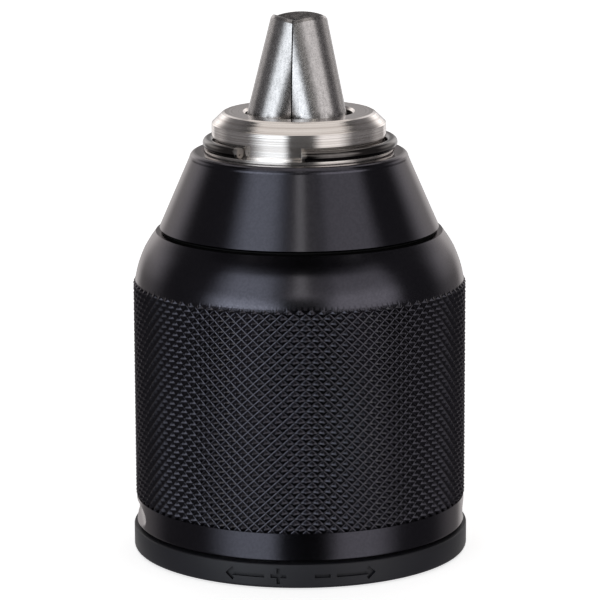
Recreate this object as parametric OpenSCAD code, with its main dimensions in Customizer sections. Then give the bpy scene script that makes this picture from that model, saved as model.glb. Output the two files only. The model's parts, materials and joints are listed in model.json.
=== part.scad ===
// Keyless drill chuck with a knurled sleeve, a split nut and three inclined jaws.
// The chuck axis is Z, the nose points to +Z, and the rear face of the body lies at z = 0.
// The jaws are drawn closed on the smallest shank that they hold.

/* [Gripping range] */
// Largest shank that the open jaws take
grip_max = 13; // [11:0.5:13]
// Smallest shank that the closed jaws hold
grip_min = 1.5; // [1.5:0.5:3]

/* [Body] */
// Height of the body's front face above its rear face
body_length = 57.2; // [57.2:0.1:58]
// Radius of the block that guides the jaws
block_r = 19.4; // [19.2:0.1:19.6]
// Wall radius of the tapped hole for the spindle
spindle_hole_r = 5.75; // [5:0.05:6]
// Depth of the tapped hole for the spindle
spindle_hole_depth = 16; // [12:1:20]

/* [Jaws] */
// Radius of the round jaw blank
jaw_r = 4.15; // [4.05:0.05:4.15]
// Angle between a jaw and the chuck axis
jaw_angle = 15; // [15:0.5:15.5]
// Direction of the first jaw, seen from the nose
jaw_azimuth = 79; // [70:1:90]
// Height at which the end faces of the jaws meet the chuck axis
jaw_tip_z = 68.75; // [68:0.05:69.5]
// Distance from one jaw tooth to the next, along the jaw
tooth_pitch = 1.5; // [1.5:0.1:1.7]

/* [Sleeve] */
// Radius over the knurl
sleeve_r = 21.5; // [21.4:0.1:21.6]
// Bore radius of the sleeve
sleeve_bore_r = 19.9; // [19.8:0.05:19.9]
// Depth of the two scoops at the rear of the sleeve
scoop_depth = 0.75; // [0.5:0.05:0.9]

/* [Rear ring] */
// Outer radius of the rear ring
ring_r = 21.75; // [21.6:0.05:22]
// Thickness of the rear ring
ring_h = 3.13; // [2.8:0.01:3.13]

/* [Bearing] */
// Number of balls in the thrust bearing
ball_count = 18; // [12:1:20]
// Radius of a ball
ball_r = 1.2; // [1.1:0.05:1.2]

/* [Hidden] */
$fn = 96;

// Fits and gaps
eps = 0.01;            // overshoot of a cut
press_gap = 0.02;      // between parts that are pressed together
run_gap = 0.05;        // between parts that turn or slide in each other

// Jaw travel: the grip opens by twice the sideways part of the slide
jaw_travel = (grip_max - grip_min) / 2 / sin(jaw_angle);
jaw_apex_z = 66.3;     // where the jaw axes meet the chuck axis
open_tail_z = 9.84;    // height of a jaw's tail when the grip is wide open
jaw_tail = (jaw_apex_z - open_tail_z) / cos(jaw_angle) - jaw_travel;
jaw_tip = (jaw_tip_z - jaw_apex_z) * cos(jaw_angle);
jaw_land = grip_min / 2;
jaw_steps = [0, 120, 240];
seam_gap = 0.16;       // between the wedge faces of neighbouring jaws

// Body
hub_r = 10;
block_z0 = 10;
block_z1 = 23.6;
low_neck_r = 10.4;
neck_r = 12.3;
neck_z0 = 40;
neck_z1 = 49;
throat_r = 11.4;       // upper end of the neck, under the washer
throat_z1 = 52.54;
groove_r = 10.9;       // floor of the snap ring's groove
head_r = 11.2;
head_z0 = 54.15;
head_edge = 1.45;      // height of the bevel round the front face
head_bevel = 1.35;     // width of that bevel
edge_break = 0.15;     // small bevel where an edge is only broken
tool_bore_r = 6.9;

// Thread: grooves on the jaws and ridges in the nut, both along one cone
pitch_z = tooth_pitch * cos(jaw_angle);
thread_z = 28.7;       // height of the first ridge, where the helix starts
thread_turns = [0:3];
groove_depth = 1.0;
ridge_depth = 0.75;
teeth_top_z = 56;
mean_thread_r = 12.9;
jaw_lead = atan(pitch_z / (2 * PI * mean_thread_r));
// A half turn is one tilted arc, which stays nearest to the helix at this rise
nut_lead = atan(0.207 * pitch_z / mean_thread_r);

// Bearing stack, from the block upwards
washer_h = 0.5;
race_h = 1.0;
race_z = block_z1 + washer_h;
race_r0 = 15.9;
race_r1 = 19.3;
ball_path_r = 17.6;
ball_sink = 0.25;
ball_z = race_z + race_h - ball_sink + ball_r;
top_race_z = ball_z + ball_r - ball_sink;

// Nut and drive
nut_z0 = top_race_z + race_h + press_gap;
nut_z1 = 37;
nut_r = 16.2;
band_r = 17.4;
lug_r = 19.2;
lug_w = 6;
lug_z0 = 30;
lug_z1 = 36;
insert_r0 = 17.5;
insert_z0 = 29.5;
insert_z1 = 36.6;

// Sleeve
sleeve_z0 = 3.44;
sleeve_top_z = 41.8;
sleeve_bore_z = 37.2;
mouth_r = 16.7;

// Nose cone
cone_z0 = 42.1;
cone_z1 = 52.1;
cone_r0 = 18.0;
cone_r1 = 14.1;
lip_r = 12.6;
ledge_z = 51.9;
spigot_z = 39.9;

// Snap ring
wire_r = 0.68;
wire_path_r = 11.83;
wire_z = throat_z1 + wire_r;
wire_shift = 0.15;     // how far the sprung wire sits to one side
wire_start = -89;      // azimuth of the wire's first end
wire_sweep = 319.5;

// Rear parts
plate_z0 = ring_h + press_gap;
plate_h = 0.85;
clip_z0 = plate_z0 + plate_h;
clip_h = 0.8;
clip_groove_r = 9.3;
ratchet_z = 5.4;
ratchet_h = 1.4;
ratchet_r = 16;
ratchet_teeth = 24;

// Radius of the line that the backs of the jaws slide along, at height z
function back_r(z) = (jaw_apex_z - z) * tan(jaw_angle) + jaw_r / cos(jaw_angle);

// A point on a circle of radius r, as [x, y]
function on_circle(r, a) = [r * cos(a), r * sin(a)];

// Plain ring between two radii, standing on z0
module ring(r0, r1, z0, h) {
    translate([0, 0, z0]) difference() {
        cylinder(r = r1, h = h);
        translate([0, 0, -eps]) cylinder(r = r0, h = h + 2 * eps);
    }
}

// Places its children along the jaw axis at azimuth a: local +Z runs up to the tip
module along_jaw(a) {
    rotate([0, 0, a]) translate([0, 0, jaw_apex_z]) rotate([0, -jaw_angle, 0]) children();
}

// Ring with its ridge or groove profile, tilted by the lead at azimuth a
module thread_ring(a, z, lead, r0, r1, w0, w1) {
    rotate([0, 0, a]) translate([0, 0, z]) rotate([lead, 0, 0]) rotate_extrude()
        polygon([[r0, -w0 / 2], [r1, -w1 / 2], [r1, w1 / 2], [r0, w0 / 2]]);
}

// Body: rear hub, jaw block, neck and head, with the three jaw bores
module chuck_body() {
    edge = 0.6;
    color("silver") difference() {
        rotate_extrude() polygon([
            [0, 0], [hub_r - 0.4, 0], [hub_r, 0.4],
            [hub_r, clip_z0], [clip_groove_r, clip_z0],
            [clip_groove_r, clip_z0 + clip_h + 2 * press_gap], [hub_r, clip_z0 + clip_h + 2 * press_gap],
            [hub_r, block_z0], [block_r - edge, block_z0], [block_r, block_z0 + edge],
            [block_r, block_z1], [low_neck_r, block_z1],
            [low_neck_r, neck_z0], [neck_r, neck_z0], [neck_r, neck_z1],
            [throat_r, neck_z1], [throat_r, throat_z1], [groove_r, throat_z1],
            [groove_r, head_z0], [head_r, head_z0], [head_r, body_length - head_edge],
            [head_r - head_bevel, body_length - edge_break],
            [head_r - head_bevel - 2 * edge_break, body_length], [0, body_length]
        ]);
        // tapped hole and tool bore
        translate([0, 0, -eps]) cylinder(r = spindle_hole_r, h = spindle_hole_depth + 2 * eps);
        translate([0, 0, spindle_hole_depth]) cylinder(r = tool_bore_r, h = body_length);
        // lead-in at the front of the tool bore
        translate([0, 0, body_length - 0.3])
            cylinder(r1 = tool_bore_r, r2 = tool_bore_r + 0.31, h = 0.31);
        for (step = jaw_steps) along_jaw(jaw_azimuth + step)
            translate([0, 0, -70]) cylinder(r = jaw_r + run_gap, h = 90);
    }
}

// Jaw: inclined round blank, squared off at both ends, with a wedge nose and teeth on its back
module jaw(step) {
    a = jaw_azimuth + step;
    tail_bevel = 0.5;
    tip_bevel = 0.2;
    setback = seam_gap / 2 / sin(60);
    first_z = thread_z + pitch_z * a / 360;
    last = floor((teeth_top_z - first_z) / pitch_z);
    reach = 25;
    color("lightgray") difference() {
        intersection() {
            along_jaw(a) rotate_extrude() polygon([
                [0, -jaw_tail], [jaw_r - tail_bevel, -jaw_tail], [jaw_r, tail_bevel - jaw_tail],
                [jaw_r, jaw_tip - 2 * tip_bevel], [jaw_r - tip_bevel, jaw_tip], [0, jaw_tip]
            ]);
            rotate([0, 0, a]) linear_extrude(height = jaw_tip_z + 2) polygon([
                [jaw_land, -(jaw_land - setback) * tan(60)],
                [reach, -(reach - setback) * tan(60)],
                [reach, (reach - setback) * tan(60)],
                [jaw_land, (jaw_land - setback) * tan(60)]
            ]);
        }
        for (k = [1:last]) {
            z = first_z + k * pitch_z;
            thread_ring(a, z, jaw_lead, back_r(z) - groove_depth, back_r(z) + 1.5, 0.72, 1.45);
        }
    }
}

// Half of the split nut, centred on azimuth a, with its share of the cone thread
module nut_half(a) {
    gap = 0.15;
    color("darkgray") intersection() {
        union() {
            difference() {
                translate([0, 0, nut_z0]) cylinder(r = nut_r, h = nut_z1 - nut_z0);
                translate([0, 0, nut_z0 - eps]) cylinder(
                    r1 = back_r(nut_z0) + gap, r2 = back_r(nut_z1) + gap, h = nut_z1 - nut_z0 + 2 * eps);
            }
            for (k = thread_turns) {
                z = thread_z + (k + a / 360) * pitch_z;
                thread_ring(a, z, nut_lead, back_r(z) - ridge_depth, back_r(z) + 0.5, 0.36, 0.7);
            }
        }
        rotate([0, 0, a]) translate([press_gap, -20, nut_z0]) cube([20, 40, nut_z1 - nut_z0]);
    }
}

// Band that holds the nut halves together, with three drive lugs
module nut_band() {
    color("gray") difference() {
        union() {
            translate([0, 0, nut_z0]) cylinder(r = band_r, h = nut_z1 - nut_z0);
            for (step = jaw_steps) rotate([0, 0, jaw_azimuth + 60 + step]) intersection() {
                translate([nut_r + 0.5, -lug_w / 2, lug_z0]) cube([5, lug_w, lug_z1 - lug_z0]);
                cylinder(r = lug_r, h = lug_z1);
            }
        }
        translate([0, 0, nut_z0 - eps]) cylinder(r = nut_r + press_gap, h = 20);
    }
}

// Slotted ring pressed into the sleeve, which turns the lugs of the band
module drive_insert() {
    color("dimgray") difference() {
        ring(insert_r0, sleeve_bore_r - press_gap, insert_z0, insert_z1 - insert_z0);
        for (step = jaw_steps) rotate([0, 0, jaw_azimuth + 60 + step]) intersection() {
            translate([insert_r0 - 1, -lug_w / 2 - 0.1, insert_z0 - eps]) cube([5, lug_w + 0.2, 20]);
            cylinder(r = lug_r + 0.1, h = 60);
        }
    }
}

// Sleeve: plain band with two scoops, knurl seat and rounded shoulder
module grip_sleeve() {
    band = sleeve_r - 0.12;
    scoop_half = 1.5;
    scoop_arc_r = (scoop_half * scoop_half + scoop_depth * scoop_depth) / (2 * scoop_depth);
    color([0.10, 0.10, 0.11]) difference() {
        rotate_extrude() polygon([
            [sleeve_bore_r, sleeve_z0], [band - 0.25, sleeve_z0], [band, sleeve_z0 + 0.25],
            [band, 7.0], [sleeve_r, 7.2], [sleeve_r, 35.1], [sleeve_r - 0.25, 35.5],
            [sleeve_r - 0.45, 36.5], [sleeve_r - 0.68, 37.4], [sleeve_r - 1.03, 38.4],
            [sleeve_r - 1.5, 39.5], [sleeve_r - 2.15, 40.6], [sleeve_r - 3.0, sleeve_top_z],
            [mouth_r, sleeve_top_z], [mouth_r, sleeve_bore_z], [sleeve_bore_r, sleeve_bore_z]
        ]);
        for (a = [6, 186]) rotate([0, 0, a])
            translate([band + scoop_arc_r - scoop_depth, 10, 5.0])
                rotate([90, 0, 0]) cylinder(r = scoop_arc_r, h = 20);
    }
}

// Nose cone: front cap on the neck, with a spigot in the mouth of the sleeve
module nose_cone() {
    round_r = 0.9;
    half_angle = atan((cone_r0 - cone_r1) / (cone_z1 - cone_z0));
    color([0.09, 0.09, 0.10]) rotate_extrude() polygon([
        [neck_r + press_gap, spigot_z], [mouth_r - run_gap, spigot_z],
        [mouth_r - run_gap, cone_z0], [cone_r0 - 0.2, cone_z0], [cone_r0, cone_z0 + 0.2],
        for (a = [-half_angle / 2 + 15:15:90])
            [cone_r1 - round_r + round_r * cos(a), cone_z1 - round_r + round_r * sin(a)],
        [lip_r, cone_z1], [lip_r, ledge_z],
        [throat_r + press_gap, ledge_z], [throat_r + press_gap, neck_z1 + press_gap],
        [neck_r + press_gap, neck_z1 + press_gap]
    ]);
}

// Washer between the snap ring and the nose cone
module nose_washer() {
    z = ledge_z + press_gap;
    color("gainsboro") ring(throat_r + press_gap, neck_r - 0.1, z, throat_z1 - press_gap - z);
}

// Open wire ring that snaps into the groove under the head
module snap_ring() {
    color("darkgray") translate([wire_shift, 0, 0]) rotate([0, 0, wire_start])
        rotate_extrude(angle = wire_sweep) translate([wire_path_r, wire_z]) circle(r = wire_r, $fn = 32);
}

// Rubber ring between the sleeve's top and the nose cone
module sleeve_seal() {
    gap = 0.04;
    h = cone_z0 - sleeve_top_z - 2 * gap;
    color("black") ring(mouth_r - run_gap + press_gap, 17.5, sleeve_top_z + gap, h);
}

// Spring washer under the bearing: a shallow dished ring
module spring_washer() {
    rise = 0.15;
    t = washer_h - rise - 2 * press_gap;
    z = block_z1 + press_gap;
    color("slategray") rotate_extrude() polygon([
        [race_r0, z], [race_r1 - 0.1, z + rise], [race_r1 - 0.1, z + rise + t], [race_r0, z + t]
    ]);
}

// Bearing race with a ball groove
module race(z0, r1) {
    color("silver") difference() {
        ring(race_r0, r1, z0, race_h);
        rotate_extrude() translate([ball_path_r, ball_z]) circle(r = ball_r + run_gap, $fn = 32);
    }
}

// Cage that spaces the balls
module bearing_cage() {
    cage_h = 1.0;
    color("goldenrod") difference() {
        ring(race_r0 + 0.2, race_r1 - 0.2, ball_z - cage_h / 2, cage_h);
        for (i = [0:ball_count - 1]) rotate([0, 0, i * 360 / ball_count])
            translate([ball_path_r, 0, ball_z - 2]) cylinder(r = ball_r + run_gap, h = 4);
    }
}

module bearing_balls() {
    color("white") for (i = [0:ball_count - 1]) rotate([0, 0, i * 360 / ball_count])
        translate([ball_path_r, 0, ball_z]) sphere(r = ball_r, $fn = 32);
}

// Click ring on the hub, with saw teeth round its rim
module ratchet_ring() {
    step = 360 / ratchet_teeth;
    color("gray") translate([0, 0, ratchet_z]) difference() {
        linear_extrude(height = ratchet_h) polygon([
            for (i = [0:ratchet_teeth - 1], end = [0, 1])
                on_circle(ratchet_r - (end == 0 ? 0.8 : 0), (i + end * 0.85) * step)
        ]);
        translate([0, 0, -eps]) cylinder(r = hub_r + press_gap, h = ratchet_h + 2 * eps);
    }
}

// Open spring ring in the sleeve, with two arms that click over the ratchet
module pawl_spring() {
    outer = sleeve_bore_r - press_gap;
    tip = ratchet_r + 0.15;
    h = ratchet_h - 0.2;
    color("steelblue") translate([0, 0, ratchet_z + 0.1]) {
        difference() {
            cylinder(r = outer, h = h);
            translate([0, 0, -eps]) cylinder(r = outer - 0.8, h = h + 2 * eps);
            translate([0, 0, -eps]) linear_extrude(height = h + 2 * eps)
                polygon([[0, 0], on_circle(30, 84), on_circle(30, 96)]);
        }
        for (a = [0, 180]) rotate([0, 0, a]) linear_extrude(height = h) polygon([
            on_circle(outer - 0.2, 3), on_circle(18.6, -8), on_circle(tip + 0.6, -20),
            on_circle(tip, -20), on_circle(tip, -18.5), on_circle(18, -7), on_circle(outer - 0.6, 4)
        ]);
    }
}

// Open clip in the hub's groove, which seats the rear plate
module retaining_clip() {
    color("slategray") difference() {
        ring(clip_groove_r + press_gap, hub_r + 2.2, clip_z0 + press_gap, clip_h);
        translate([0, -1.5, 0]) cube([20, 3, 10]);
    }
}

// Steel plate that centres the rear of the sleeve
module rear_plate() {
    color("darkgray") ring(hub_r + press_gap, sleeve_bore_r - run_gap, plate_z0, plate_h);
}

// Moulded ring that closes the rear of the chuck
module rear_ring() {
    rim = 0.45;
    color([0.13, 0.13, 0.13]) rotate_extrude() polygon([
        [hub_r + press_gap, 0.4], [hub_r + 1.4, 0.4], [hub_r + 1.8, 1.0],
        [ring_r - 3.2, 1.0], [ring_r - 2.8, 0], [ring_r - rim, 0], [ring_r, rim],
        [ring_r, ring_h - edge_break], [ring_r - edge_break, ring_h], [hub_r + press_gap, ring_h]
    ]);
}

chuck_body();
jaw(jaw_steps[0]);  // jaw_1
jaw(jaw_steps[1]);  // jaw_2
jaw(jaw_steps[2]);  // jaw_3
nut_half(90);  // nut_half_a
nut_half(270);  // nut_half_b
nut_band();
drive_insert();
grip_sleeve();
nose_cone();
nose_washer();
snap_ring();
sleeve_seal();
spring_washer();
race(race_z, race_r1 + 0.1);  // fixed_race
bearing_cage();
bearing_balls();
race(top_race_z, race_r1);  // rotating_race
ratchet_ring();
pawl_spring();
retaining_clip();
rear_plate();
rear_ring();
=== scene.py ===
"""Looks for the keyless drill chuck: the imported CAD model, a knurled sleeve, a marked ring and a studio."""
import json
import math

import bmesh
import bpy
import numpy as np
from mathutils import Matrix, Vector


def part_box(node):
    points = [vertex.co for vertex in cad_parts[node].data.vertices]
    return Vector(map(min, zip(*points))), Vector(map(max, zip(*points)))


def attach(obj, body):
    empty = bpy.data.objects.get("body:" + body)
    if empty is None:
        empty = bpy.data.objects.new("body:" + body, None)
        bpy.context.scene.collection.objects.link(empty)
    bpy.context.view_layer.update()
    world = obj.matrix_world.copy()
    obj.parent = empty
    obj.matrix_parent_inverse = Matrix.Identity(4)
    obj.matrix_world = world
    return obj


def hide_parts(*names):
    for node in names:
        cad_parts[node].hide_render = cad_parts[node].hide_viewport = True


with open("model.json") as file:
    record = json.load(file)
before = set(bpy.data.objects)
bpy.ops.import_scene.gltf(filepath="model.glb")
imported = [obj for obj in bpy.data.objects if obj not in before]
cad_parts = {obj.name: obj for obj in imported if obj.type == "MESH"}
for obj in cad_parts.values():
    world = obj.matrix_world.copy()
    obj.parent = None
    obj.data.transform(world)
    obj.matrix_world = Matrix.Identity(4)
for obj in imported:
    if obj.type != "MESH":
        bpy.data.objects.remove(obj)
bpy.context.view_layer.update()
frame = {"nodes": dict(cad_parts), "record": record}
MM = 0.001

# ---------------------------------------------------------------- sizes
# From the frame
RING_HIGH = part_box("rear_ring")[1]
RING_R, RING_H = RING_HIGH.x, RING_HIGH.z
SLEEVE_Z0, SLEEVE_Z1 = [corner.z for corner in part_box("grip_sleeve")]

# Sleeve, as in the CAD model
SLEEVE_R = 21.5 * MM       # over the knurl
BAND_R = SLEEVE_R - 0.12 * MM
BORE_R = 19.9 * MM
BORE_Z1 = 37.2 * MM
MOUTH_R = 16.7 * MM
# Its wall up to the mouth: heights, and the radius at each
WALL_Z = np.array([0.0, 35.1, 35.5, 36.5, 37.4, 38.4, 39.5, 40.6, 41.8]) * MM
WALL_R = np.array([21.5, 21.5, 21.25, 21.05, 20.82, 20.47, 20.0, 19.35, 18.5]) * MM

# Knurl
KNURL_Z0 = 7.0 * MM
KNURL_Z1 = 35.5 * MM
KNURL_FADE = 0.5 * MM      # height over which the grooves run out at the top
KNURL_COUNT = 90           # diamonds round the sleeve
DIAMOND_H = 1.38 * MM
KNURL_DEPTH = 0.42 * MM
# One flank of a pyramid, as (share of a cell, share of the depth): a rounded floor and a rounded crest
FLANK = [(0.035, 0.0), (0.085, 0.05), (0.41, 0.95), (0.455, 1.0)]

# The gap between the snap ring's ends: azimuth of its middle, and its half width, in degrees
WIRE_GAP = -109.25
WIRE_GAP_HALF = 20.5

# The two scoops in the plain band, with the azimuths of their middles in degrees
SCOOP_AZIMUTHS = (6, 186)
SCOOP_Z = 5.0 * MM
SCOOP_HALF = 1.5 * MM
SCOOP_DEPTH = 0.75 * MM

# Heights over which a finish sets in: clean steel above the jaws' foot, which is darker in blotches, and
# chips on top of the wire
JAW_FOOT = (57.1 * MM, 58.0 * MM)
WIRE_TOP = (52.0 * MM, 52.3 * MM)

# Turning marks in the rear ring, in millimetres
MARK_Z = 1.6
MARK_DEPTH = 0.40
STROKE = 0.46


# ---------------------------------------------------------------- shader nodes
class Nodes:
    """A node tree, with short calls to add nodes and links."""

    def __init__(self, tree):
        self.tree = tree

    def add(self, kind, **settings):
        made = self.tree.nodes.new(kind)
        for key, value in settings.items():
            setattr(made, key, value)
        return made

    def feed(self, value, socket):
        """Links a node's output to a socket, or sets the socket to a number or a colour."""
        if isinstance(value, tuple):
            socket.default_value = (*value, 1)
        elif isinstance(value, (int, float)):
            socket.default_value = value
        else:
            self.tree.links.new(value, socket)

    def math(self, operation, *values):
        made = self.add("ShaderNodeMath", operation=operation)
        for value, socket in zip(values, made.inputs):
            self.feed(value, socket)
        return made.outputs[0]

    def product(self, first, *others):
        """The values multiplied together."""
        for other in others:
            first = self.math("MULTIPLY", first, other)
        return first

    def less(self, value, taken):
        """A value less another."""
        return self.math("SUBTRACT", value, taken)

    def weigh(self, *weighted):
        """The sum of values times their weights."""
        first, *others = [self.product(value, weight) for value, weight in weighted]
        for other in others:
            first = self.math("ADD", first, other)
        return first

    def noise(self, vector, scale, detail=3.0, rough=0.5):
        made = self.add("ShaderNodeTexNoise")
        made.inputs["Scale"].default_value = scale
        made.inputs["Detail"].default_value = detail
        made.inputs["Roughness"].default_value = rough
        self.feed(vector, made.inputs["Vector"])
        return made.outputs["Fac"]

    def spread(self, value, low, high):
        """Maps a 0..1 value to low..high."""
        made = self.add("ShaderNodeMapRange")
        made.inputs["To Min"].default_value = low
        made.inputs["To Max"].default_value = high
        self.feed(value, made.inputs["Value"])
        return made.outputs["Result"]

    def step(self, value, start, end):
        """0 before start and 1 after end, with a smooth rise between them."""
        made = self.add("ShaderNodeMapRange", interpolation_type="SMOOTHSTEP")
        made.inputs["From Min"].default_value = start
        made.inputs["From Max"].default_value = end
        self.feed(value, made.inputs["Value"])
        return made.outputs["Result"]

    def mix(self, factor, a, b):
        """A mix of two colours."""
        made = self.add("ShaderNodeMix", data_type="RGBA")
        self.feed(factor, made.inputs["Factor"])
        self.feed(a, made.inputs["A"])
        self.feed(b, made.inputs["B"])
        return made.outputs["Result"]

    def split(self, vector):
        made = self.add("ShaderNodeSeparateXYZ")
        self.feed(vector, made.inputs[0])
        return made.outputs

    def join(self, *values):
        """A vector from up to three values, with 0 for those left out."""
        made = self.add("ShaderNodeCombineXYZ")
        for value, socket in zip(values, made.inputs):
            self.feed(value, socket)
        return made.outputs[0]

    def coordinates(self, kind):
        return self.add("ShaderNodeTexCoord").outputs[kind]


class Finish(Nodes):
    """A material: the node tree behind a Principled shader."""

    def __init__(self, name):
        self.material = bpy.data.materials.new(name)
        self.material.use_nodes = True
        super().__init__(self.material.node_tree)
        self.shader = self.tree.nodes["Principled BSDF"]

    def set(self, **values):
        for key, value in values.items():
            self.feed(value, self.shader.inputs[key.replace("_", " ")])

    def bump(self, height, strength, distance):
        made = self.add("ShaderNodeBump")
        made.inputs["Strength"].default_value = strength
        made.inputs["Distance"].default_value = distance
        self.feed(height, made.inputs["Height"])
        self.set(Normal=made.outputs["Normal"])

    def lathe_tangent(self):
        """Stretches the highlights across turning marks that run round the chuck axis."""
        made = self.add("ShaderNodeTangent", direction_type="RADIAL", axis="Z")
        self.set(Tangent=made.outputs[0], Anisotropic=0.5, Anisotropic_Rotation=0.25)


# ---------------------------------------------------------------- materials
def turned_steel():
    """Bright turned steel: fine rings cut round the chuck axis."""
    look = Finish("turned_steel")
    place = look.coordinates("Object")
    x, y, z = look.split(place)
    radius = look.math("SQRT", look.math("ADD", look.product(x, x), look.product(y, y)))
    lines = look.join(look.less(z, look.product(radius, 0.8)))
    fine = look.noise(lines, 5200, 2.0)
    broad = look.noise(lines, 1500, 2.0)
    smudge = look.noise(place, 260, 3.0)
    tone = look.step(look.weigh((fine, 0.6), (broad, 0.4)), 0.38, 0.58)
    rough = look.spread(look.weigh((fine, 0.5), (smudge, 0.5)), 0.05, 0.18)
    colour = look.mix(tone, (0.70, 0.64, 0.60), (1.0, 0.95, 0.91))
    look.set(Metallic=0.92, Base_Color=colour, Roughness=rough)
    look.lathe_tangent()
    look.bump(look.math("ADD", fine, broad), 0.6, 0.03 * MM)
    return look.material


def jaw_steel():
    """Satin ground steel with a fine grain, darker in blotches at its foot and chipped on its end faces."""
    look = Finish("jaw_steel")
    place = look.coordinates("Object")
    x, y, z = look.split(place)
    streaks = look.noise(look.join(x, y, look.product(z, 0.12)), 3000, 2.0)
    grain = look.noise(place, 5600, 3.0, 0.75)
    cloud = look.noise(place, 1400, 3.0)
    tone = look.step(look.weigh((grain, 0.7), (streaks, 0.2), (cloud, 0.1)), 0.34, 0.64)
    steel = look.mix(tone, (0.33, 0.318, 0.312), (0.62, 0.595, 0.587))
    blotch = look.step(look.noise(place, 1300, 3.0), 0.42, 0.56)
    foot = look.less(1.0, look.step(z, *JAW_FOOT))
    upward = look.split(look.coordinates("Normal"))[2]
    end_face = look.step(upward, 0.75, 0.9)
    chipped = look.product(end_face, look.less(0.85, look.product(blotch, 0.4)))
    dark = look.math("MAXIMUM", look.product(foot, blotch, 0.8), chipped)
    look.set(Metallic=0.95, Base_Color=look.mix(dark, steel, (0.10, 0.095, 0.09)),
             Roughness=look.spread(grain, 0.16, 0.36))
    look.bump(look.math("ADD", grain, look.product(end_face, blotch, 3)), 0.17, 0.02 * MM)
    return look.material


def black_oxide(name, rough_low, rough_high):
    """Black oxide on polished steel: a dark metal with a faint grain."""
    look = Finish(name)
    place = look.coordinates("Object")
    grain = look.noise(place, 3600, 2.0, 0.6)
    cloud = look.noise(place, 160, 3.0)
    tone = look.weigh((cloud, 0.4), (look.step(grain, 0.36, 0.64), 0.6))
    rough = look.spread(look.weigh((grain, 0.5), (cloud, 0.5)), rough_low, rough_high)
    look.set(Metallic=1.0, Specular_Tint=(1.0, 0.97, 0.95), Roughness=rough,
             Base_Color=look.mix(tone, (0.065, 0.0635, 0.0755), (0.087, 0.0845, 0.1005)))
    look.bump(grain, 0.14, 0.01 * MM)
    return look.material


def black_plastic():
    """Matte black moulded plastic with a fine spark texture."""
    look = Finish("black_plastic")
    place = look.coordinates("Object")
    grain = look.noise(place, 6500, 2.0, 0.7)
    cloud = look.noise(place, 300, 2.0)
    look.set(Metallic=0.0, IOR=1.5, Specular_IOR_Level=0.42, Roughness=look.spread(grain, 0.40, 0.55),
             Base_Color=look.mix(cloud, (0.009, 0.009, 0.012), (0.014, 0.014, 0.018)))
    look.bump(grain, 0.18, 0.02 * MM)
    return look.material


def plain_metal(name, dark, light, rough_low, rough_high):
    """Machined metal for the pieces inside, with a soft cloudy finish."""
    look = Finish(name)
    place = look.coordinates("Object")
    cloud = look.noise(place, 1200, 3.0)
    grain = look.noise(place, 4800, 2.0)
    look.set(Metallic=1.0, Base_Color=look.mix(cloud, dark, light),
             Roughness=look.spread(grain, rough_low, rough_high))
    look.bump(grain, 0.15, 0.01 * MM)
    return look.material


def spring_steel():
    """Dark spring wire, chipped bright round the two cut ends of the snap ring."""
    look = Finish("spring_steel")
    place = look.coordinates("Object")
    x, y, z = look.split(place)
    cloud = look.noise(place, 1200, 3.0)
    grain = look.noise(place, 4800, 2.0)
    from_gap = look.math("ABSOLUTE", look.less(look.math("ARCTAN2", y, x), math.radians(WIRE_GAP)))
    beyond = look.step(from_gap, math.radians(WIRE_GAP_HALF), math.radians(WIRE_GAP_HALF + 5.5))
    near_end = look.product(look.less(1.0, beyond), look.step(z, *WIRE_TOP))
    patches = look.noise(place, 1900, 3.0)
    chips = look.step(look.math("ADD", look.product(near_end, 0.3), patches), 0.58, 0.70)
    bright = look.product(near_end, chips)
    wire = look.mix(cloud, (0.09, 0.082, 0.078), (0.17, 0.16, 0.153))
    rough = look.math("ADD", look.spread(grain, 0.06, 0.14), look.product(bright, 0.3))
    look.set(Metallic=1.0, Base_Color=look.mix(bright, wire, (0.46, 0.43, 0.405)), Roughness=rough)
    look.bump(look.math("ADD", grain, look.product(bright, 2)), 0.15, 0.02 * MM)
    return look.material


def seal_rubber():
    """Dull black rubber."""
    look = Finish("seal_rubber")
    grain = look.noise(look.coordinates("Object"), 2500, 3.0)
    look.set(Metallic=0.0, Specular_IOR_Level=0.2, Roughness=look.spread(grain, 0.6, 0.8),
             Base_Color=look.mix(grain, (0.002, 0.002, 0.002), (0.004, 0.004, 0.004)))
    look.bump(grain, 0.3, 0.02 * MM)
    return look.material


MATERIALS = {
    "turned_steel": turned_steel(),
    "jaw_steel": jaw_steel(),
    "inner_steel": plain_metal("inner_steel", (0.34, 0.34, 0.35), (0.52, 0.52, 0.53), 0.25, 0.45),
    "spring_steel": spring_steel(),
    "bearing_steel": plain_metal("bearing_steel", (0.62, 0.62, 0.64), (0.80, 0.80, 0.82), 0.06, 0.16),
    "cage_brass": plain_metal("cage_brass", (0.55, 0.38, 0.14), (0.74, 0.55, 0.26), 0.22, 0.38),
    "black_sleeve": black_oxide("black_sleeve", 0.12, 0.24),
    "black_cone": black_oxide("black_cone", 0.10, 0.22),
    "black_plastic": black_plastic(),
    "seal_rubber": seal_rubber(),
}


def paint_cad_nodes():
    """Gives each CAD node the material of its slot in the record."""
    for part in frame["record"]["subparts"]:
        node = frame["nodes"][part["node"]]
        node.data.materials.clear()
        node.data.materials.append(MATERIALS[part["material_slot"]])


# ---------------------------------------------------------------- mesh helpers
def piece(name, mesh, body, slot, replaced):
    """Links a finished mesh as a piece that rides on a body and stands for a CAD node."""
    made = bpy.data.objects.new(name, mesh)
    bpy.context.scene.collection.objects.link(made)
    mesh.materials.clear()
    mesh.materials.append(MATERIALS[slot])
    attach(made, body)
    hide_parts(replaced)


def smooth_by_angle(mesh, degrees):
    """Smooth shading, with edges sharper than the angle kept crisp."""
    mesh.shade_smooth()
    mesh.set_sharp_from_angle(angle=math.radians(degrees))


def wall_radius(z):
    """Outer radius of the sleeve at height z, over the crests of the knurl."""
    return np.interp(z, WALL_Z, WALL_R)


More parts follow.
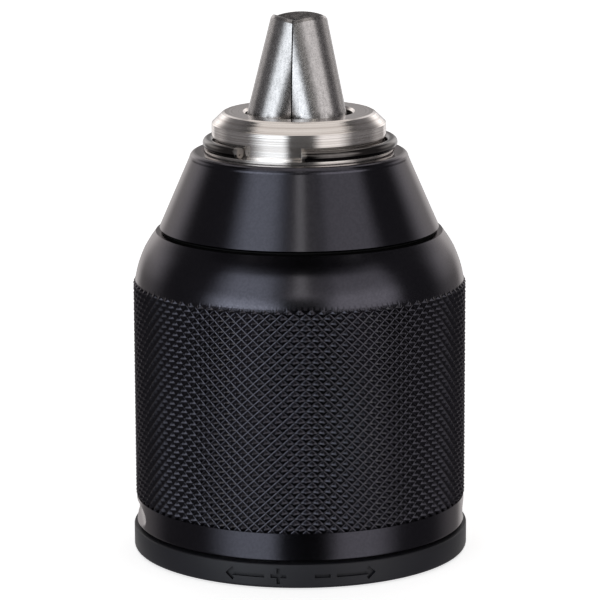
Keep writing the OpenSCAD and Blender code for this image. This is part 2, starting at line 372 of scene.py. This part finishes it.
def knurl_patch():
    """The knurled wall as one open mesh: blunt pyramids between two families of grooves."""
    pitch = 2 * math.pi / KNURL_COUNT
    lines = [share for share, _ in FLANK] + [1 - share for share, _ in reversed(FLANK)]
    height = [level for _, level in FLANK] + [level for _, level in reversed(FLANK)]
    count = len(lines)
    rise = KNURL_Z1 - KNURL_Z0
    rows = math.ceil(rise / DIAMOND_H) + 2
    middle = (KNURL_Z0 + KNURL_Z1) / 2
    made = bmesh.new()
    found = {}

    def vertex(a, b):
        """The vertex on line a of one family and line b of the other."""
        turns = (a + b) // (2 * count * KNURL_COUNT)
        a, b = a - turns * count * KNURL_COUNT, b - turns * count * KNURL_COUNT
        if (a, b) not in found:
            u, v = a // count + lines[a % count], b // count + lines[b % count]
            angle = (u + v) / 2 * pitch
            z = middle + (u - v) / 2 * DIAMOND_H
            fade = min(1.0, max(0.0, (KNURL_Z1 - z) / KNURL_FADE))
            low = (1 - min(height[a % count], height[b % count])) * KNURL_DEPTH * fade
            r = wall_radius(z) - low
            found[a, b] = made.verts.new((r * math.cos(angle), r * math.sin(angle), z))
        return found[a, b]

    def face(*corners):
        made.faces.new([vertex(a, b) for a, b in corners])

    half = count // 2
    for total in range(2 * count * KNURL_COUNT):
        for difference in range(-count * rows, count * rows):
            if (total + difference) % 2:
                continue
            a, b = (total + difference) // 2, (total - difference) // 2
            p, q, r, s = (a, b), (a + 1, b), (a + 1, b + 1), (a, b + 1)
            i, j = a % count, b % count
            mirrored = count - 2 - i
            if i == j and i not in (half - 1, count - 1):
                face(p, q, r)
                face(p, r, s)
            elif mirrored == j and i not in (half - 1, count - 1):
                face(p, q, s)
                face(q, r, s)
            else:
                face(p, q, r, s)
    return made


def cut_flat(made, z, keep_above):
    """Cuts the mesh at height z and keeps one side."""
    normal = (0, 0, -1) if keep_above else (0, 0, 1)
    bmesh.ops.bisect_plane(made, geom=made.verts[:] + made.edges[:] + made.faces[:], dist=1e-8,
                           plane_co=(0, 0, z), plane_no=normal, clear_outer=True)


def rim_edges(made, z):
    """Open edges of the mesh at height z."""
    near = 1e-6
    return [e for e in made.edges if e.is_boundary and all(abs(v.co.z - z) < near for v in e.verts)]


def scooped(radius, z, angle):
    """The radius of the plain band, less what the two straight scoops take away."""
    off = abs(z - SCOOP_Z)
    if off >= SCOOP_HALF:
        return radius
    arc_r = (SCOOP_HALF ** 2 + SCOOP_DEPTH ** 2) / (2 * SCOOP_DEPTH)
    wall = BAND_R - SCOOP_DEPTH + arc_r - math.sqrt(arc_r ** 2 - off ** 2)
    for azimuth in SCOOP_AZIMUTHS:
        facing = math.cos(angle - math.radians(azimuth))
        if facing > 0.5:
            radius = min(radius, wall / facing)
    return radius


def lathe_on(made, edges, profile, shape=None):
    """Carries an open rim through a list of (radius, height) stations."""
    for radius, z in profile:
        grown = bmesh.ops.extrude_edge_only(made, edges=edges)["geom"]
        for vert in [g for g in grown if isinstance(g, bmesh.types.BMVert)]:
            angle = math.atan2(vert.co.y, vert.co.x)
            r = shape(radius, z, angle) if shape else radius
            vert.co = (r * math.cos(angle), r * math.sin(angle), z)
        edges = [g for g in grown if isinstance(g, bmesh.types.BMEdge)]
    return edges


def arc(centre_r, centre_z, radius, start, end, steps):
    """Stations along a rounded edge, as (radius, height)."""
    angles = [math.radians(start + (end - start) * i / steps) for i in range(steps + 1)]
    return [(centre_r + radius * math.cos(a), centre_z + radius * math.sin(a)) for a in angles]


def sleeve_mesh():
    """The whole sleeve: knurl, plain band, shoulder and bore, as one closed mesh."""
    made = knurl_patch()
    cut_flat(made, KNURL_Z0, keep_above=True)
    cut_flat(made, KNURL_Z1, keep_above=False)
    bmesh.ops.remove_doubles(made, verts=made.verts[:], dist=1e-7)
    edge = 0.25 * MM
    scoop_steps, shoulder_steps = 18, 14
    band = [(BAND_R, KNURL_Z0)]
    band += [(BAND_R, z) for z in np.linspace(SCOOP_Z + SCOOP_HALF, SLEEVE_Z0 + edge, scoop_steps)]
    rim = lathe_on(made, rim_edges(made, KNURL_Z0), band, scooped)
    rear = arc(BAND_R - edge, SLEEVE_Z0 + edge, edge, 0, -90, 3)[1:] + [(BORE_R, SLEEVE_Z0)]
    low_rim = lathe_on(made, rim, rear)
    collar_z = KNURL_Z1 + 0.04 * MM
    top = [(wall_radius(KNURL_Z1), collar_z)]
    top += [(wall_radius(z), z) for z in np.linspace(collar_z, SLEEVE_Z1, shoulder_steps)[1:]]
    top += [(MOUTH_R, SLEEVE_Z1), (MOUTH_R, BORE_Z1), (BORE_R, BORE_Z1)]
    top_rim = lathe_on(made, rim_edges(made, KNURL_Z1), top)
    bmesh.ops.bridge_loops(made, edges=low_rim + top_rim)
    bmesh.ops.recalc_face_normals(made, faces=made.faces[:])
    mesh = bpy.data.meshes.new("knurled_sleeve")
    made.to_mesh(mesh)
    made.free()
    smooth_by_angle(mesh, 26)
    return mesh


def revolve(profile, steps):
    """A closed ring of revolution from a closed outline of (radius, height) points."""
    made = bmesh.new()
    rows = []
    for i in range(steps):
        angle = 2 * math.pi * i / steps
        rows.append([made.verts.new((r * math.cos(angle), r * math.sin(angle), z)) for r, z in profile])
    for i in range(steps):
        here, beyond = rows[i], rows[(i + 1) % steps]
        for j in range(len(profile)):
            k = (j + 1) % len(profile)
            made.faces.new((here[j], beyond[j], beyond[k], here[k]))
    bmesh.ops.recalc_face_normals(made, faces=made.faces[:])
    return made


def arrow_outline(tail, point, barb, half, lean):
    """Outline of a barbed arrow along the arc, in millimetres."""
    cos, sin = math.cos(lean), math.sin(lean)
    way = 1 if point > tail else -1
    end = (point - way * barb * cos, barb * sin)
    inner = (end[0] - way * 2 * half * sin, end[1] - 2 * half * cos)
    joint = (inner[0] + way * (inner[1] - half) * cos / sin, half)
    upper = [end, inner, joint, (tail, half)]
    return [(point, 0)] + upper + [(x, -y) for x, y in reversed(upper)]


def mark_outlines():
    """Outlines of the plain turning marks, in millimetres of arc length and height from their middle."""
    half = STROKE / 2
    tail, point, barb, lean = 4.6, 9.8, 1.3, math.radians(42)
    yield arrow_outline(-tail, -point, barb, half, lean)
    yield arrow_outline(tail, point, barb, half, lean)
    arm, centre = 1.0, 2.8
    yield [(centre - arm, -half), (centre + arm, -half), (centre + arm, half), (centre - arm, half)]
    corner = [(arm, -half), (arm, half), (half, half)]
    quarter_turns = ((1, 0), (0, 1), (-1, 0), (0, -1))
    yield [(x * c - y * d - centre, x * d + y * c) for c, d in quarter_turns for x, y in corner]


def mark_cutter(ring_r):
    """A closed cutter for all the marks, wrapped round the front of the rear ring, in millimetres."""
    longest_step = 0.6
    made = bmesh.new()
    for outline in mark_outlines():
        points = []
        for start, end in zip(outline, outline[1:] + outline[:1]):
            steps = max(1, math.ceil(math.dist(start, end) / longest_step))
            points += [Vector(start).lerp(Vector(end), i / steps) for i in range(steps)]
        walls = []
        for r in (ring_r - MARK_DEPTH, ring_r + 1):
            angles = [x / ring_r - math.pi / 2 for x, _ in points]
            walls.append([made.verts.new((r * math.cos(a), r * math.sin(a), MARK_Z + y))
                          for a, (_, y) in zip(angles, points)])
        low, high = walls
        for i in range(len(points)):
            j = (i + 1) % len(points)
            made.faces.new((low[i], low[j], high[j], high[i]))
        made.faces.new(low)
        made.faces.new(high)
    bmesh.ops.triangulate(made, faces=[f for f in made.faces if len(f.verts) > 4])
    bmesh.ops.recalc_face_normals(made, faces=made.faces[:])
    return made


def cut_away(mesh, cutter):
    """The mesh less a closed cutter, given as a bmesh."""
    tool_mesh = bpy.data.meshes.new("cutter")
    cutter.to_mesh(tool_mesh)
    cutter.free()
    tool = bpy.data.objects.new("cutter", tool_mesh)
    body = bpy.data.objects.new("blank", mesh)
    for made in (tool, body):
        bpy.context.scene.collection.objects.link(made)
    cut = body.modifiers.new("cut", "BOOLEAN")
    cut.object = tool
    cut.solver = "EXACT"
    bpy.context.view_layer.update()
    shaped = bpy.data.meshes.new_from_object(body.evaluated_get(bpy.context.evaluated_depsgraph_get()))
    for made in (tool, body):
        bpy.data.objects.remove(made)
    return shaped


def rear_ring_mesh():
    """The moulded rear ring with rounded edges, a stepped underside and engraved turning marks."""
    ring_r, ring_h, hub_r = RING_R / MM, RING_H / MM, 10.02
    lip, land, recess, foot = 0.4, 1.4, 1.0, 2.8
    inner_edge, rim, top_edge = 0.2, 0.45, 0.18
    outline = [(hub_r, lip), (hub_r + land, lip)]
    outline += [(hub_r + land + lip, recess), (ring_r - foot - lip, recess)]
    outline += arc(ring_r - foot + inner_edge, inner_edge, inner_edge, 180, 270, 3)
    outline += arc(ring_r - rim, rim, rim, -90, 0, 5)
    outline += arc(ring_r - top_edge, ring_h - top_edge, top_edge, 0, 90, 3)
    outline += [(hub_r, ring_h)]
    blank = revolve(outline, 240)
    mesh = bpy.data.meshes.new("blank")
    blank.to_mesh(mesh)
    blank.free()
    plain_faces = len(mesh.polygons)
    mesh = cut_away(mesh, mark_cutter(ring_r))
    if len(mesh.polygons) < plain_faces:
        raise RuntimeError("the marks did not cut the rear ring")
    mesh.transform(Matrix.Scale(MM, 4))
    mesh.name = "marked_rear_ring"
    smooth_by_angle(mesh, 30)
    return mesh


paint_cad_nodes()
piece("knurled_sleeve", sleeve_mesh(), "sleeve", "black_sleeve", "grip_sleeve")
piece("marked_rear_ring", rear_ring_mesh(), "body", "black_plastic", "rear_ring")


# ---------------------------------------------------------------- studio
COOL = (0.87, 0.94, 1.0)
NEUTRAL = (1.0, 0.98, 0.98)
WARM = (1.0, 0.96, 0.93)

# Light panels that stand in front of the chuck. Each has its azimuths and elevations in degrees, its
# softness at the left and right, its softness above and below, its strength and its colour.
PANELS = [
    # left: below the horizon, above it, and a bright stretch along it
    ((-56, -17), (-40, 0), (16, 6), 8, 1.0, COOL),
    ((-59, -18), (0, 42), (13, 13), 8, 1.2, COOL),
    ((-62, -14), (-2, 11), (13, 6), 5, 1.7, COOL),
    # right: below the horizon, above it, and a brighter stretch low in the upper one
    ((24, 64), (-40, 0), (9, 14), 8, 0.74, NEUTRAL),
    ((20, 71), (0, 42), (13, 9), 8, 0.60, NEUTRAL),
    ((20, 73), (4, 20), (9, 7), 8, 0.60, NEUTRAL),
    # middle: a dim panel with a narrow bright strip, and a glow along its lower edge
    ((-12, 18), (19, 44), (4, 4), 5, 0.26, WARM),
    ((-3.5, 5.5), (20, 44), (4, 4), 5, 1.0, (1.0, 1.0, 0.90)),
    ((-9, 15), (15, 23), (7, 7), 4, 0.45, WARM),
]


def camera():
    """A long lens on the chuck's front, a little above it."""
    look_down, roll = 11.83, -0.22
    made = bpy.data.cameras.new("camera")
    made.sensor_width = 36
    made.lens = 203.4
    made.clip_start = 0.01
    holder = bpy.data.objects.new("camera", made)
    holder.location = (0.00006, -0.430, 0.1225)
    tilted = Matrix.Rotation(math.radians(90 - look_down), 3, "X")
    holder.rotation_euler = (tilted @ Matrix.Rotation(math.radians(roll), 3, "Z")).to_euler()
    bpy.context.scene.collection.objects.link(holder)
    bpy.context.scene.camera = holder


def floor():
    """Pale floor, which the glossy pieces do not mirror."""
    mesh = bpy.data.meshes.new("floor")
    half = 6.0
    corners = [(-half, -half, 0), (half, -half, 0), (half, half, 0), (-half, half, 0)]
    mesh.from_pydata(corners, [], [(0, 1, 2, 3)])
    made = bpy.data.objects.new("floor", mesh)
    made.location.z = -0.2 * MM
    made.visible_glossy = False
    made.visible_shadow = False
    look = Finish("floor")
    look.set(Base_Color=(0.9, 0.9, 0.9), Roughness=0.9)
    look.set(Emission_Color=(1.0, 1.0, 1.0), Emission_Strength=0.72)
    mesh.materials.append(look.material)
    bpy.context.scene.collection.objects.link(made)


class Sky(Nodes):
    """The world's node tree, where directions are an azimuth from the front and an elevation, in degrees."""

    def __init__(self):
        world = bpy.data.worlds.new("studio")
        bpy.context.scene.world = world
        world.use_nodes = True
        super().__init__(world.node_tree)
        x, y, z = self.split(self.coordinates("Generated"))
        degrees = 180 / math.pi
        self.azimuth = self.product(self.math("ARCTAN2", x, self.product(y, -1)), degrees)
        self.elevation = self.product(self.math("ARCSINE", z), degrees)
        height = self.math("MAXIMUM", z, 0.05)
        self.side = self.math("DIVIDE", x, height)
        self.depth = self.math("DIVIDE", y, height)
        self.total = None

    def window(self, value, limits, soft, soft_high=None):
        """1 between two limits, with soft edges, which may differ."""
        low, high = limits
        soft_high = soft_high or soft
        rise = self.step(value, low - soft, low + soft)
        return self.less(rise, self.step(value, high - soft_high, high + soft_high))

    def light(self, level, strength, colour):
        """Adds a colour times a level and a strength to the sky."""
        made = self.add("ShaderNodeVectorMath", operation="SCALE")
        made.inputs[0].default_value = colour
        self.feed(self.product(level, strength), made.inputs["Scale"])
        if self.total is None:
            self.total = made.outputs[0]
            return
        both = self.add("ShaderNodeVectorMath", operation="ADD")
        self.feed(self.total, both.inputs[0])
        self.feed(made.outputs[0], both.inputs[1])
        self.total = both.outputs[0]


def light_front(sky):
    """The standing panels, and a soft panel that hangs above the chuck."""
    for azimuths, elevations, sides, soft, strength, colour in PANELS:
        across = sky.window(sky.azimuth, azimuths, *sides)
        sky.light(sky.product(across, sky.window(sky.elevation, elevations, soft)), strength, colour)
    # the hanging panel's edges, in heights to each side and backwards
    across = sky.window(sky.side, (-0.61, 0.66), 0.04)
    sky.light(sky.product(across, sky.window(sky.depth, (-0.35, 1.0), 0.04)), 0.68, WARM)


def light_back(sky):
    """A dim wall behind the chuck and, to each side, a brighter stretch above the horizon and a panel."""
    turned = sky.math("ABSOLUTE", sky.azimuth)
    behind = sky.step(turned, 104, 130)
    stretch = sky.less(behind, sky.step(turned, 150, 170))
    sky.light(sky.product(behind, sky.window(sky.elevation, (-90, 28), 9)), 0.22, (1.0, 0.97, 0.96))
    sky.light(sky.product(stretch, sky.window(sky.elevation, (4, 22), 8)), 0.55, (1.0, 0.97, 0.95))
    panels = sky.window(turned, (150, 171), 6)
    sky.light(sky.product(panels, sky.window(sky.elevation, (-40, 40), 10)), 0.5, NEUTRAL)


def light_rest(sky):
    """A faint light from everywhere, less in the middle of the front and near the top."""
    middle = sky.product(sky.window(sky.azimuth, (-14, 24), 3), 0.85)
    top = sky.product(sky.step(sky.elevation, 38, 55), 0.85)
    sky.light(sky.product(sky.less(1.0, top), sky.less(1.0, middle)), 0.085, (1.0, 0.95, 1.0))


def studio():
    """The panels and the wall light the chuck, and the camera sees plain white behind it."""
    sky = Sky()
    light_front(sky)
    light_back(sky)
    light_rest(sky)
    seen = sky.add("ShaderNodeLightPath").outputs["Is Camera Ray"]
    sky.feed(sky.mix(seen, sky.total, (1, 1, 1)), sky.tree.nodes["Background"].inputs["Color"])


camera()
floor()
studio()
bpy.context.scene.view_settings.view_transform = "Standard"
